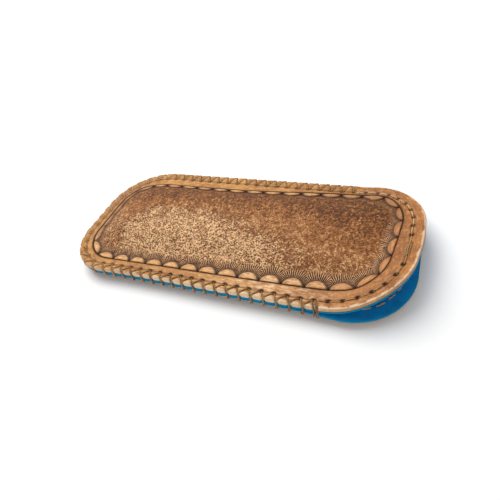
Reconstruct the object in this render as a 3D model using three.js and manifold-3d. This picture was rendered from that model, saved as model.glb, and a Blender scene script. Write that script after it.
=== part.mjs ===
// Soft leather eyeglasses case: two lined leather panels laced together round the closed end and
// both long sides, and open at the mouth, where the upper lip flexes up about a line between the
// two ends of the lacing. Millimetres, +Z up, +X towards the mouth, +Y across the case.
import * as THREE from 'three';
import { mergeVertices } from 'three/addons/utils/BufferGeometryUtils.js';
import Module from 'manifold-3d';

const wasm = await Module();
wasm.setup();

// Outline of both panels.
const PANEL_LENGTH = 176;
const PANEL_WIDTH = 77.2;
const MOUTH_CORNER = 28;
const CLOSED_CORNER_FRONT = 26;
const CLOSED_CORNER_BACK = 31;

// Thickness of each layer, and the gap between neighbouring layers.
const TOP_LEATHER = 2.2;
const BOTTOM_LEATHER = 0.9;
const LINING = 1;
const LAYER_GAP = 0.12;

// Heights. The laced edge stands a little above the table, and the belly rests on it.
const EDGE_RISE = 2.8;
const MOUTH_EDGE_RISE = 1.7;
const BELLY_START = 8;
const BELLY_SPAN = 13;
const DOME_HEIGHT = 5.5;
const DOME_START = 7;
const DOME_SPAN = 20;
// The upper lip's edge curls up towards its tip, and more along the front than along the back.
const LIP_RISE = 7.6;
const LIP_CURL = 1.3;
const LIP_TWIST = 0.4;

// Upper lip: the flex line, the slit that parts the lip's solids from the panel's, and how far the
// lip opens, which sets how much its back face leans away from the panel.
const FLEX_X = 53;
const FLEX_SLIT = 0.3;
const OPEN_DEGREES = 14;
const LEAN_MARGIN_DEGREES = 1;

// Edge lacing.
const LACE_PITCH = 6;
const LACE_INSET = 4.6;
const LACE_END_X = 51;
const LACE_RADIUS = 0.5;
const LACE_CLEARANCE = 0.3;
const LACE_EDGE_CLEARANCE = 0.5;

// Running stitches of the two lips.
const STITCH_PITCH = 6;
const STITCH_START = 10;
const TOP_STITCH_INSET = 5;
const BOTTOM_STITCH_INSET = 3.7;
const STITCH_RADIUS = 0.4;
const STITCH_CLEARANCE = 0.15;

// Square holes that the threads pass through.
const HOLE_RADIUS = 1.1;
const HOLE_SIDES = 4;
const HOLE_DEPTH = 40;

// Facets.
const CORNER_STEPS = 5;
const STRAIGHT_STEPS = 3;
const ROW_FRACTIONS = [0, 0.3, 0.5, 0.66, 0.83, 1];
const THREAD_SIDES = 5;

const HALF_LENGTH = PANEL_LENGTH / 2;
const HALF_WIDTH = PANEL_WIDTH / 2;
const LAYER_STACK = BOTTOM_LEATHER + TOP_LEATHER + 2 * LINING + 3 * LAYER_GAP;
const EDGE_TOP = EDGE_RISE + LAYER_STACK;
const FLEX_Z = EDGE_RISE + BOTTOM_LEATHER + LINING + 1.5 * LAYER_GAP;
const LACE_REACH = LACE_EDGE_CLEARANCE + 2 * LACE_RADIUS;

const MATERIALS = {
  tooled: { color: 0xa8744a, roughness: 0.55, metalness: 0 },
  plain: { color: 0xc4925f, roughness: 0.6, metalness: 0 },
  lining: { color: 0x0b5f92, roughness: 0.9, metalness: 0 },
  thread: { color: 0x8a6236, roughness: 0.7, metalness: 0 },
};

const ramp = (value) => THREE.MathUtils.smoothstep(value, 0, 1);
const closedCorner = (y) => (y < 0 ? CLOSED_CORNER_FRONT : CLOSED_CORNER_BACK);
const cornerRadius = (x, y) => (x > 0 ? MOUTH_CORNER : closedCorner(y));

// How far a point lies inside the panels' outline.
function inset(x, y) {
  const radius = cornerRadius(x, y);
  const along = Math.abs(x) - HALF_LENGTH + radius;
  const across = Math.abs(y) - HALF_WIDTH + radius;
  const outside = Math.hypot(Math.max(along, 0), Math.max(across, 0));
  return radius - outside - Math.min(Math.max(along, across), 0);
}

// How far the outline is from the middle line, on the side that y is on.
function halfWidth(x, y) {
  const radius = cornerRadius(x, y);
  const along = Math.max(Math.abs(x) - HALF_LENGTH + radius, 0);
  return HALF_WIDTH - radius + Math.sqrt(Math.max(radius ** 2 - along ** 2, 0));
}

// From 0 at the flex line to 1 at the tip of the mouth.
const mouthShare = (x) => THREE.MathUtils.clamp((x - FLEX_X) / (HALF_LENGTH - FLEX_X), 0, 1);

// Height of the upper surface: a flat border, a dome inside it, and a lip that rises to the mouth.
function topSurface(x, y) {
  const dome = ramp((inset(x, y) - DOME_START) / DOME_SPAN);
  const lip = mouthShare(x) ** LIP_CURL * (1 - (LIP_TWIST * y) / HALF_WIDTH);
  return EDGE_TOP + DOME_HEIGHT * dome + LIP_RISE * lip * (1 - dome);
}

// Height of the underside: flat on the table inside, and lifted round the edge.
function underside(x, y) {
  const belly = ramp((inset(x, y) - BELLY_START) / BELLY_SPAN);
  return THREE.MathUtils.lerp(EDGE_RISE, MOUTH_EDGE_RISE, mouthShare(x)) * (1 - belly);
}

const above = (surface, offset) => (x, y) => surface(x, y) + offset;

// Columns across the case, closer together where the outline bends.
function columns(from, to) {
  const places = [];
  const add = (x) => x > from && x < to && places.push(x);
  for (let i = 0; i <= CORNER_STEPS; i++) {
    const share = 1 - Math.cos((i / CORNER_STEPS) * (Math.PI / 2));
    add(-HALF_LENGTH + CLOSED_CORNER_BACK * share);
    add(HALF_LENGTH - MOUTH_CORNER * share);
  }
  const start = -HALF_LENGTH + CLOSED_CORNER_BACK;
  for (let i = 1; i < STRAIGHT_STEPS; i++) {
    add(THREE.MathUtils.lerp(start, FLEX_X, i / STRAIGHT_STEPS));
  }
  if (from < FLEX_X) add(FLEX_X);
  return [from, ...places, to].sort((a, b) => a - b);
}

const rows = [...ROW_FRACTIONS.slice(1).reverse().map((share) => -share), ...ROW_FRACTIONS];

// A closed solid between two surfaces. A lean tilts its first end away from the flex line.
function sheet(places, lower, upper, lean = 0) {
  const across = rows.length;
  const layer = places.length * across;
  const positions = [];
  for (const surface of [lower, upper]) {
    places.forEach((x, column) => {
      for (const share of rows) {
        const y = share * halfWidth(x, share);
        const z = surface(x, y);
        positions.push(column === 0 ? x + lean * (z - FLEX_Z) : x, y, z);
      }
    });
  }
  const index = [];
  const quad = (a, b, c, d) => index.push(a, b, c, a, c, d);
  const low = (column, row) => column * across + row;
  const high = (column, row) => layer + low(column, row);
  const [lastColumn, lastRow] = [places.length - 1, across - 1];
  for (let i = 0; i < lastColumn; i++) {
    for (let j = 0; j < lastRow; j++) {
      quad(high(i, j), high(i + 1, j), high(i + 1, j + 1), high(i, j + 1));
      quad(low(i, j), low(i, j + 1), low(i + 1, j + 1), low(i + 1, j));
    }
    quad(low(i, 0), low(i + 1, 0), high(i + 1, 0), high(i, 0));
    quad(low(i + 1, lastRow), low(i, lastRow), high(i, lastRow), high(i + 1, lastRow));
  }
  for (let j = 0; j < lastRow; j++) {
    quad(low(0, j + 1), low(0, j), high(0, j), high(0, j + 1));
    quad(low(lastColumn, j), low(lastColumn, j + 1), high(lastColumn, j + 1), high(lastColumn, j));
  }
  const geometry = new THREE.BufferGeometry();
  geometry.setAttribute('position', new THREE.Float32BufferAttribute(positions, 3));
  geometry.setIndex(index);
  return geometry;
}

function toManifold(geometry) {
  const bare = geometry.clone();
  bare.deleteAttribute('normal');
  bare.deleteAttribute('uv');
  const merged = mergeVertices(bare);
  return new wasm.Manifold(
    new wasm.Mesh({
      numProp: 3,
      vertProperties: new Float32Array(merged.attributes.position.array),
      triVerts: new Uint32Array(merged.index.array),
    }),
  );
}

function fromManifold(solid) {
  const { vertProperties, triVerts } = solid.getMesh();
  const geometry = new THREE.BufferGeometry();
  geometry.setAttribute('position', new THREE.BufferAttribute(vertProperties, 3));
  geometry.setIndex(new THREE.BufferAttribute(triVerts, 1));
  return geometry;
}

function pierce(geometry, spots) {
  let solid = toManifold(geometry);
  for (const { x, y } of spots) {
    const hole = new THREE.CylinderGeometry(HOLE_RADIUS, HOLE_RADIUS, HOLE_DEPTH, HOLE_SIDES);
    solid = solid.subtract(toManifold(hole.rotateX(Math.PI / 2).translate(x, y, 0)));
  }
  return fromManifold(solid);
}

// A line parallel to the edge, from the flex side of the front round the closed end to the back.
function closedEndPath(edgeInset, endX) {
  const [front, back] = [CLOSED_CORNER_FRONT, CLOSED_CORNER_BACK];
  const [endEdge, sideEdge] = [HALF_LENGTH - edgeInset, HALF_WIDTH - edgeInset];
  const [frontX, frontY] = [front - HALF_LENGTH, front - HALF_WIDTH];
  const [backX, backY] = [back - HALF_LENGTH, HALF_WIDTH - back];
  return new THREE.Path()
    .moveTo(endX, -sideEdge)
    .lineTo(frontX, -sideEdge)
    .absarc(frontX, frontY, front - edgeInset, -Math.PI / 2, -Math.PI, true)
    .lineTo(-endEdge, backY)
    .absarc(backX, backY, back - edgeInset, Math.PI, Math.PI / 2, true)
    .lineTo(endX, sideEdge);
}

// The same round the mouth.
function mouthPath(edgeInset) {
  const [x, y] = [HALF_LENGTH - MOUTH_CORNER, HALF_WIDTH - MOUTH_CORNER];
  const radius = MOUTH_CORNER - edgeInset;
  return new THREE.Path()
    .moveTo(FLEX_X + STITCH_START, -y - radius)
    .absarc(x, -y, radius, -Math.PI / 2, 0, false)
    .lineTo(x + radius, y)
    .absarc(x, y, radius, 0, Math.PI / 2, false)
    .lineTo(FLEX_X + STITCH_START, y + radius);
}

const spacesAlong = (path, pitch) => Math.round(path.getLength() / pitch);

// A thread's line, which bends only at its listed points.
class ThreadLine extends THREE.Curve {
  constructor(points) {
    super();
    this.points = points;
  }

  getPoint(share, target = new THREE.Vector3()) {
    const place = share * (this.points.length - 1);
    const before = Math.min(Math.floor(place), this.points.length - 2);
    return target.lerpVectors(this.points[before], this.points[before + 1], place - before);
  }

  getPointAt(share, target) {
    return this.getPoint(share, target);
  }

  getTangentAt(share, target = new THREE.Vector3()) {
    const half = 0.5 / (this.points.length - 1);
    const ahead = this.getPoint(Math.min(share + half, 1));
    return target.subVectors(ahead, this.getPoint(Math.max(share - half, 0))).normalize();
  }
}

function thread(points, radius) {
  const section = new THREE.Shape();
  for (let i = 0; i < THREAD_SIDES; i++) {
    const angle = (i / THREAD_SIDES) * 2 * Math.PI;
    const [x, y] = [radius * Math.cos(angle), radius * Math.sin(angle)];
    if (i === 0) section.moveTo(x, y);
    else section.lineTo(x, y);
  }
  const extrudePath = new ThreadLine(points);
  return new THREE.ExtrudeGeometry(section, { steps: points.length - 1, extrudePath });
}

// One turn of the lacing for each space between holes: over the edge, under it, up the next hole.
function lacingPoints(path, count) {
  const lift = LACE_CLEARANCE + LACE_RADIUS;
  const reach = LACE_INSET + LACE_EDGE_CLEARANCE + LACE_RADIUS;
  const at = (place, outward, z) => {
    const spot = path.getPointAt(place / count);
    const along = path.getTangentAt(place / count);
    return new THREE.Vector3(spot.x + along.y * outward, spot.y - along.x * outward, z);
  };
  const outside = (place, z) => at(place, -reach, z);
  const points = [at(0, 0, EDGE_TOP + lift)];
  for (let i = 0; i < count; i++) {
    points.push(outside(i + 1 / 3, EDGE_TOP + lift), outside(i + 2 / 3, EDGE_RISE - lift));
    points.push(at(i + 1, 0, EDGE_RISE - lift), at(i + 1, 0, EDGE_TOP + lift));
  }
  return points;
}

// A running stitch: over the first space between holes, under the next, and so on.
function stitchPoints(spots, lower, upper) {
  const lift = STITCH_CLEARANCE + STITCH_RADIUS;
  const points = [];
  spots.forEach(({ x, y }, i) => {
    const over = new THREE.Vector3(x, y, upper(x, y) + lift);
    const under = new THREE.Vector3(x, y, lower(x, y) - lift);
    points.push(...(i % 2 === 0 ? [under, over] : [over, under]));
  });
  return points;
}

function part(name, geometry, material) {
  const mesh = new THREE.Mesh(geometry, new THREE.MeshStandardMaterial(MATERIALS[material]));
  mesh.name = name;
  return mesh;
}

const lacePath = closedEndPath(LACE_INSET, LACE_END_X);
const laceSpaces = spacesAlong(lacePath, LACE_PITCH);
const laceHoles = lacePath.getSpacedPoints(laceSpaces);
const topStitchPath = mouthPath(TOP_STITCH_INSET);
const topStitchHoles = topStitchPath.getSpacedPoints(spacesAlong(topStitchPath, STITCH_PITCH));
const bottomStitchPath = mouthPath(BOTTOM_STITCH_INSET);
const bottomStitchHoles = bottomStitchPath.getSpacedPoints(
  spacesAlong(bottomStitchPath, STITCH_PITCH),
);

const wholePanel = columns(-HALF_LENGTH, HALF_LENGTH);
const behindFlex = columns(-HALF_LENGTH, FLEX_X);
const lipColumns = columns(FLEX_X + FLEX_SLIT, HALF_LENGTH);
const lipLean = Math.tan(THREE.MathUtils.degToRad(OPEN_DEGREES + LEAN_MARGIN_DEGREES));

const bottomLeatherTop = above(underside, BOTTOM_LEATHER);
const bottomLiningUnder = above(underside, BOTTOM_LEATHER + LAYER_GAP);
const bottomLiningTop = above(underside, BOTTOM_LEATHER + LAYER_GAP + LINING);
const topLeatherUnder = above(topSurface, -TOP_LEATHER);
const topLiningTop = above(topSurface, -TOP_LEATHER - LAYER_GAP);
const topLiningUnder = above(topSurface, -TOP_LEATHER - LAYER_GAP - LINING);

const bottomHoles = [...laceHoles, ...bottomStitchHoles];
const bottomPanel = sheet(wholePanel, underside, bottomLeatherTop);
const bottomLining = sheet(wholePanel, bottomLiningUnder, bottomLiningTop);
const topPanel = sheet(behindFlex, topLeatherUnder, topSurface);
const topLining = sheet(behindFlex, topLiningUnder, topLiningTop);
const panelLip = sheet(lipColumns, topLeatherUnder, topSurface, lipLean);
const liningLip = sheet(lipColumns, topLiningUnder, topLiningTop, lipLean);
const topStitches = stitchPoints(topStitchHoles, topLiningUnder, topSurface);
const bottomStitches = stitchPoints(bottomStitchHoles, underside, bottomLiningTop);

const eyeglassesCase = new THREE.Group();
eyeglassesCase.add(
  part('bottom_panel', pierce(bottomPanel, bottomHoles), 'plain'),
  part('bottom_lining', pierce(bottomLining, bottomHoles), 'lining'),
  part('top_panel', pierce(topPanel, laceHoles), 'tooled'),
  part('top_lining', pierce(topLining, laceHoles), 'lining'),
  part('top_panel_lip', pierce(panelLip, topStitchHoles), 'tooled'),
  part('top_lining_lip', pierce(liningLip, topStitchHoles), 'lining'),
  part('edge_lacing', thread(lacingPoints(lacePath, laceSpaces), LACE_RADIUS), 'thread'),
  part('top_mouth_stitching', thread(topStitches, STITCH_RADIUS), 'thread'),
  part('bottom_mouth_stitching', thread(bottomStitches, STITCH_RADIUS), 'thread'),
);

// The lacing stands out at the closed end only, so the case shifts to centre on its origin.
eyeglassesCase.position.x = LACE_REACH / 2;

export default eyeglassesCase;
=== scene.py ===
"""Leather eyeglasses case: two lined panels laced round three sides, tooled on top, open at the mouth.

Shapes are worked out in millimetres from the middle of the panels, with x towards the mouth, and placed in
metres. A point's place, from 0 to 9, is how far round the outline it is. Its inset is how far inside it is.
"""

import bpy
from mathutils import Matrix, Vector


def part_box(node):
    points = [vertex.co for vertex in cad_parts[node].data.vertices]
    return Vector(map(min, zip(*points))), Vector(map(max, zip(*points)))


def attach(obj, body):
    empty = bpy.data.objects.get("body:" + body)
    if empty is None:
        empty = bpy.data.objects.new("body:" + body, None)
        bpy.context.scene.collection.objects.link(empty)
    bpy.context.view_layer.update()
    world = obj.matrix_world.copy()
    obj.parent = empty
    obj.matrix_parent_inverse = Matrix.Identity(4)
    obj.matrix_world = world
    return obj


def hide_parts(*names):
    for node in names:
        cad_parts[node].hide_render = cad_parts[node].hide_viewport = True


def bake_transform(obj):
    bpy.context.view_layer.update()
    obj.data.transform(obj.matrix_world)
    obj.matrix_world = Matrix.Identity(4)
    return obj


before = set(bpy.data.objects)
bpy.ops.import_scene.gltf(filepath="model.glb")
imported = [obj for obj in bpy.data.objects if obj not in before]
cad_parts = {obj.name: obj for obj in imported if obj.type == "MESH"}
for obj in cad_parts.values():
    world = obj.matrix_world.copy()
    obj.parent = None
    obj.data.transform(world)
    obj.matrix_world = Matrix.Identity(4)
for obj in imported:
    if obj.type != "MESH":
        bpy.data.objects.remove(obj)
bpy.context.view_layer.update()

import functools
import math

import bpy
import numpy as np
from mathutils import Matrix, Vector

MM = 0.001

# ---- dimensions, in millimetres
panel_low, panel_high = (np.array(corner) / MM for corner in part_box("bottom_panel"))
MIDDLE_X = (panel_low[0] + panel_high[0]) / 2
HALF_LENGTH, HALF_WIDTH, _ = (panel_high - panel_low) / 2
FRONT_CORNER, BACK_CORNER, MOUTH_CORNER = 26, 31, 28

TOP_LEATHER, BOTTOM_LEATHER, LINING, LAYER_GAP = 2.2, 0.9, 1, 0.12
TOP_LAYERS = TOP_LEATHER + LAYER_GAP + LINING
BOTTOM_LAYERS = BOTTOM_LEATHER + LAYER_GAP + LINING
# How far the bottom leather's edge stands back from its lining's.
BOTTOM_RECESS = 0.6

EDGE_RISE = 2.8
MOUTH_EDGE_RISE = 1.7
BELLY_START, BELLY_SPAN = 8, 13
DOME_HEIGHT, DOME_START, DOME_SPAN = 5.5, 7, 20
LIP_RISE, LIP_CURL, LIP_TWIST = 7.6, 1.3, 0.4
FLEX_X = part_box("top_panel")[1][0] / MM - MIDDLE_X
FLEX_SOFTENING = 5
EDGE_TOP = EDGE_RISE + BOTTOM_LAYERS + LAYER_GAP + TOP_LAYERS

LACE_PITCH, LACE_INSET, LACE_END_X, LACE_RADIUS = 6, 4.6, 51, 0.34
STITCH_INSET, LOWER_STITCH_INSET, STITCH_PITCH, STITCH_RADIUS = 5, 5.2, 6, 0.35
THREAD_TWIST, THREAD_SIDES = 3.2, 8
# How deep a stitch lies in the leather's outer face.
THREAD_SUNK = 0.15
# How far inside the outline the holes are, which differs a little from side to side.
ROW_FRONT, ROW_BACK, ROW_LIP_FRONT, ROW_LIP_BACK = 3.8, 4.9, 4.5, 5.3
# How high the laced border swells between strands, and the share of that underneath.
BORDER_PUFF, LOWER_PUFF_SHARE = 0.7, 0.5

# Tooling: the inset of the cut line, which wanders because it was cut by hand.
CUT_FRONT_CLOSED, CUT_FRONT_MOUTH = 7.1, 9.9
CUT_BACK_CLOSED, CUT_BACK_MOUTH = 11.0, 6.9
CUT_CLOSED_END, CUT_MOUTH, CUT_MOUTH_SLANT = 7.2, 10.4, 1.1
CUT_REFERENCE = 10
# Scallops: their pitch on each stretch, half their width as a share of it, and how far in they reach.
SCALLOP_PITCHES = np.array([10.1, 10, 10, 10, 10.3, 10, 11, 11.6, 10.5])
SCALLOP_HALF, SCALLOP_HALF_CLOSED, SCALLOP_LOW, SCALLOP_HIGH = 0.46, 0.64, 3.2, 3.6
SCALLOP_SHIFT = 0.25
CUT_PITCH = 10.2
# Millimetres past a scallop's rim for each share of the scallop's size.
BEYOND_SCALE = 3.9
COMB_LINES, COMB_REACH, COMB_HEIGHT = 27, 5.0, 0.12
MATTING_DEPTH, CUT_DEPTH = 0.18, 0.5
NAP_HEIGHT, NAP_CELL = 0.05, 2.5

# Camera: where it stands, and how it is turned, in degrees.
CAMERA_PLACE = (102.7, -135.4, 155.7)
CAMERA_AZIMUTH, CAMERA_ELEVATION, CAMERA_ROLL = 36.07, 44.22, -18.75
CAMERA_LENS, CAMERA_SENSOR = 32.09, 36


def add_object(name, data):
    thing = bpy.data.objects.new(name, data)
    bpy.context.scene.collection.objects.link(thing)
    return thing


def make_camera():
    """The camera, at the photograph's viewing angle."""
    data = bpy.data.cameras.new("camera")
    data.lens, data.sensor_width = CAMERA_LENS, CAMERA_SENSOR
    camera = add_object("camera", data)
    stand = Matrix.Translation(Vector(CAMERA_PLACE) * MM)
    for degrees, axis in ((CAMERA_AZIMUTH, "Z"), (90 - CAMERA_ELEVATION, "X"), (CAMERA_ROLL, "Z")):
        stand @= Matrix.Rotation(math.radians(degrees), 4, axis)
    camera.matrix_world = stand
    bpy.context.scene.camera = camera


make_camera()

# ---- the outline
# Nine stretches, clockwise from the middle of the front: front, corner, closed end, corner, back, corner,
# mouth, corner, front. Each has the points that it starts and ends from. A corner turns about one point.
FRONT_X, FRONT_Y = HALF_LENGTH - FRONT_CORNER, HALF_WIDTH - FRONT_CORNER
BACK_X, BACK_Y = HALF_LENGTH - BACK_CORNER, HALF_WIDTH - BACK_CORNER
MOUTH_X, MOUTH_Y = HALF_LENGTH - MOUTH_CORNER, HALF_WIDTH - MOUTH_CORNER
BASES = (
    ((0, -HALF_WIDTH), (-FRONT_X, -HALF_WIDTH)),
    2 * ((-FRONT_X, -FRONT_Y),),
    ((-HALF_LENGTH, -FRONT_Y), (-HALF_LENGTH, BACK_Y)),
    2 * ((-BACK_X, BACK_Y),),
    ((-BACK_X, HALF_WIDTH), (MOUTH_X, HALF_WIDTH)),
    2 * ((MOUTH_X, MOUTH_Y),),
    ((HALF_LENGTH, MOUTH_Y), (HALF_LENGTH, -MOUTH_Y)),
    2 * ((MOUTH_X, -MOUTH_Y),),
    ((MOUTH_X, -HALF_WIDTH), (0, -HALF_WIDTH)),
)
BASE_FROM, BASE_TO = (np.array(ends) for ends in zip(*BASES))
QUARTER = math.pi / 2
TURN_FROM = np.array([-1, -1, -2, -2, -3, -3, -4, -4, -5]) * QUARTER
TURN_TO = np.array([-1, -2, -2, -3, -3, -4, -4, -5, -5]) * QUARTER
RADIUS = np.array([0, FRONT_CORNER, 0, BACK_CORNER, 0, MOUTH_CORNER, 0, MOUTH_CORNER, 0])
STRETCHES = len(RADIUS)
CLOSED_END_PLACE = 2.5
STRAIGHT = np.linalg.norm(BASE_TO - BASE_FROM, axis=1)


def totals(steps):
    """Running totals, from 0."""
    return np.concatenate([[0], np.cumsum(steps)])


def off_whole(value):
    """How far a value is from the nearest whole number."""
    return value - np.round(value)


def lengths_to(inset):
    """How far along each stretch starts, on a line that far inside the outline."""
    return totals(STRAIGHT + np.where(RADIUS > 0, (RADIUS - inset) * QUARTER, 0))


def place_at(along, inset):
    """The place, from 0 to 9, that is a distance along a line that far inside the outline."""
    marks = lengths_to(inset)
    return np.interp(np.mod(along, marks[-1]), marks, np.arange(STRETCHES + 1))


def along_at(place, inset):
    """How far along a line inside the outline a place is."""
    return np.interp(place, np.arange(STRETCHES + 1), lengths_to(inset))


def spot(place, inset):
    """(x, y, outward x, outward y) of places that far inside the outline."""
    place = np.asarray(place, float)
    stretch = np.minimum(place.astype(int), STRETCHES - 1)
    share = place - stretch
    base = BASE_FROM[stretch] + share[..., None] * (BASE_TO - BASE_FROM)[stretch]
    turn = TURN_FROM[stretch] + share * (TURN_TO - TURN_FROM)[stretch]
    out_x, out_y = np.cos(turn), np.sin(turn)
    reach = RADIUS[stretch] - inset
    return base[..., 0] + reach * out_x, base[..., 1] + reach * out_y, out_x, out_y


def inset_of(x, y):
    """How far inside the outline points are."""
    radius = np.where(x > 0, MOUTH_CORNER, np.where(y < 0, FRONT_CORNER, BACK_CORNER))
    along = np.abs(x) - HALF_LENGTH + radius
    across = np.abs(y) - HALF_WIDTH + radius
    outside = np.hypot(np.maximum(along, 0), np.maximum(across, 0))
    return radius - outside - np.minimum(np.maximum(along, across), 0)


def bulge(*parts):
    """How far outside the plain outline an edge is, as a function of the place. Each part is (how far, the
    place where it is most, how far round it reaches)."""
    return lambda place: sum(far * bell(place - middle, width) for far, middle, width in parts)


# The closed end and its front corner bulge outwards. The top lip reaches furthest at its tip, and the
# bottom one at its front corner.
CLOSED_BULGES = ((0.8, 2.5, 1.0), (1.2, 1.4, 0.5))
TOP_LIP_BULGES = ((0.6, 6.5, 0.45), (-0.9, 5.6, 0.4), (-0.7, 7.6, 0.45))
TOP_CORNER_OVERHANG = (0.35, 1.4, 0.5)
top_lining_bulge = bulge(*CLOSED_BULGES, *TOP_LIP_BULGES)
upper_bulge = bulge(*CLOSED_BULGES, *TOP_LIP_BULGES, TOP_CORNER_OVERHANG)
lower_bulge = bulge(*CLOSED_BULGES, (1.5, 7.6, 0.5), (-0.8, 6.1, 0.5))
BULGE_FADE = 14


def drawn_out(place, inset, edge_bulge):
    """spot() with an edge's bulge, which fades inwards."""
    x, y, out_x, out_y = spot(place, inset)
    shift = edge_bulge(np.asarray(place, float)) * ramp(1 - np.asarray(inset) / BULGE_FADE)
    return x + out_x * shift, y + out_y * shift, out_x, out_y


def ramp(value):
    """0 below 0, 1 above 1 and smooth between."""
    value = np.clip(value, 0, 1)
    return value * value * (3 - 2 * value)


def blend(first, second, share):
    return first + (second - first) * share


def bell(distance, width):
    """1 at no distance, falling smoothly to almost nothing at twice the width."""
    return np.exp(-((distance / width) ** 2))


def wander(x, y, cell, seed):
    """Smooth random values from -1 to 1 that change over about one cell."""
    grid = np.random.default_rng(seed).uniform(-1, 1, (512, 512))
    column, row = x / cell + 256, y / cell + 256
    i, j = np.floor(column).astype(int), np.floor(row).astype(int)
    across, up = ramp(column - i), ramp(row - j)
    i, j = i % 511, j % 511
    low = blend(grid[i, j], grid[i + 1, j], across)
    high = blend(grid[i, j + 1], grid[i + 1, j + 1], across)
    return blend(low, high, up)


# ---- surfaces shared by every layer
def mouth_share(x):
    """From 0 behind the flex line to 1 at the tip of the mouth, eased at the flex line."""
    run = HALF_LENGTH - FLEX_X
    ahead = x - FLEX_X
    eased = 0.5 * (ahead + np.sqrt(ahead**2 + FLEX_SOFTENING**2)) - 0.02 * FLEX_SOFTENING
    return np.clip(eased / run, 0, 1.05)


def top_surface(x, y, *_):
    dome = ramp((inset_of(x, y) - DOME_START) / DOME_SPAN)
    hand_made = 0.25 * wander(x, y, 34, 3) * dome
    lip = mouth_share(x) ** LIP_CURL * (1 - LIP_TWIST * y / HALF_WIDTH)
    return EDGE_TOP + DOME_HEIGHT * dome + LIP_RISE * lip * (1 - dome) + hand_made


def underside(x, y, *_):
    belly = ramp((inset_of(x, y) - BELLY_START) / BELLY_SPAN)
    return blend(EDGE_RISE, MOUTH_EDGE_RISE, np.clip(mouth_share(x), 0, 1)) * (1 - belly)


# ---- the lacing's places
# Along the line of the holes: once round, where the lacing starts, and how far it runs.
ROUND = lengths_to(LACE_INSET)[-1]
LACE_START = ROUND - LACE_END_X
LACE_RUN = along_at(4, LACE_INSET) + BACK_X + 2 * LACE_END_X
LACE_SPACES = round(LACE_RUN / LACE_PITCH)
LACE_STEP = LACE_RUN / LACE_SPACES
LACE_LAP = ROUND / LACE_STEP
MOUTH_SPACES = round((ROUND - LACE_RUN) / STITCH_PITCH)
SEAM_LAP = LACE_SPACES + MOUTH_SPACES
# How far round, in stitches, each strand has moved from its hole where it turns over the edge.
UPRIGHT_LEAN, DIAGONAL_LEAN = -0.28, 0.6


def lace_phase(place):
    """Position along the lacing in stitches: 0 at its front end, LACE_SPACES at its back end."""
    return np.mod(along_at(place, LACE_INSET) - LACE_START, ROUND) / LACE_STEP


def seam_phase(place):
    """Position along all the holes, counted in holes: the lacing's, then the lip's."""
    return np.interp(lace_phase(place), (0, LACE_SPACES, LACE_LAP), (0, LACE_SPACES, SEAM_LAP))


def seam_place(phase):
    """The place of a position along all the holes."""
    return lace_place(np.interp(phase, (0, LACE_SPACES, SEAM_LAP), (0, LACE_SPACES, LACE_LAP)))


def row_inset(place):
    """How far inside the outline the holes are."""
    x, y, _, _ = spot(place, LACE_INSET)
    across = ramp((y + 30) / 60)
    lip = blend(ROW_LIP_FRONT, ROW_LIP_BACK, ramp((y + 30) / 40))
    return blend(blend(ROW_FRONT, ROW_BACK, across), lip, ramp((x - 50) / 22))


def lace_place(phase):
    return place_at(LACE_START + np.asarray(phase) * LACE_STEP, LACE_INSET)


def laced(phase):
    """1 where the edge is laced, easing to 0 round the mouth."""
    phase = np.mod(phase + 2, LACE_LAP) - 2
    return ramp((phase + 0.6) / 0.6) * ramp((LACE_SPACES + 0.6 - phase) / 0.6)


def strand_distance(phase, share):
    """Millimetres to the nearest strand across the border. share is 0 at the holes and 1 at the edge."""
    upright = phase - UPRIGHT_LEAN * share
    diagonal = phase - DIAGONAL_LEAN * share
    return np.minimum(np.abs(off_whole(upright)), np.abs(off_whole(diagonal))) * LACE_STEP


def swell(share):
    """How high the laced border stands between its strands."""
    return BORDER_PUFF * ramp(share / 0.6) * (1 - 0.3 * share**2)


def border_swell(place, inset):
    """The laced border swells between the hole row and the edge, with a groove under each strand."""
    phase = lace_phase(place)
    share = np.clip(1 - inset / row_inset(place), 0, 1)
    off_row = inset - row_inset(place)
    groove = 0.55 * bell(strand_distance(phase, share), 0.52) * ramp(share / 0.15)
    dimple = 0.75 * bell(np.hypot(off_whole(phase) * LACE_STEP * 0.7, off_row), 0.65)
    valley = 0.16 * bell(off_row, 0.7)
    return laced(phase) * (swell(share) - groove - dimple - valley)


def lip_crease(place, inset):
    """The groove that the lip's stitches lie in, with a dimple at each hole."""
    phase = seam_phase(place)
    off_row = inset - row_inset(place)
    groove = 0.3 * bell(off_row, 0.6)
    dimple = 0.95 * bell(np.hypot(off_whole(phase) * STITCH_PITCH * 0.8, off_row), 0.62)
    return (1 - laced(lace_phase(place))) * (groove + dimple)


def edge_pull(place):
    """How far the lacing draws the edge in: a little between strands and more under them."""
    phase = lace_phase(place)
    return laced(phase) * (0.1 + 0.6 * bell(strand_distance(phase, 1.0), 0.7))


# ---- tooling
def cut_inset(x, y):
    """How far inside the outline the cut line runs."""
    front = blend(CUT_FRONT_CLOSED, CUT_FRONT_MOUTH, np.clip((x + 60) / 121, 0, 1) ** 1.2)
    back = blend(CUT_BACK_CLOSED, CUT_BACK_MOUTH, ramp((x + 20) / 75))
    sides = blend(front, back, ramp((y + 24) / 48))
    sides = blend(sides, CUT_CLOSED_END, ramp((-x - 60) / 20))
    mouth = CUT_MOUTH - CUT_MOUTH_SLANT * np.clip(y / 26, -1, 1)
    return blend(sides, mouth, ramp((x - 66) / 14))


SCALLOP_MARKS = totals(np.diff(lengths_to(CUT_REFERENCE)) / SCALLOP_PITCHES)
SCALLOPS = 2 * round(SCALLOP_MARKS[-1] / 2)
SCALLOP_MARKS *= SCALLOPS / SCALLOP_MARKS[-1]


def scallop_phase(place):
    """Position along the row of scallops, counted in scallops. Each is centred on a whole number."""
    return np.interp(place, np.arange(STRETCHES + 1), SCALLOP_MARKS) - SCALLOP_SHIFT


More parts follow.
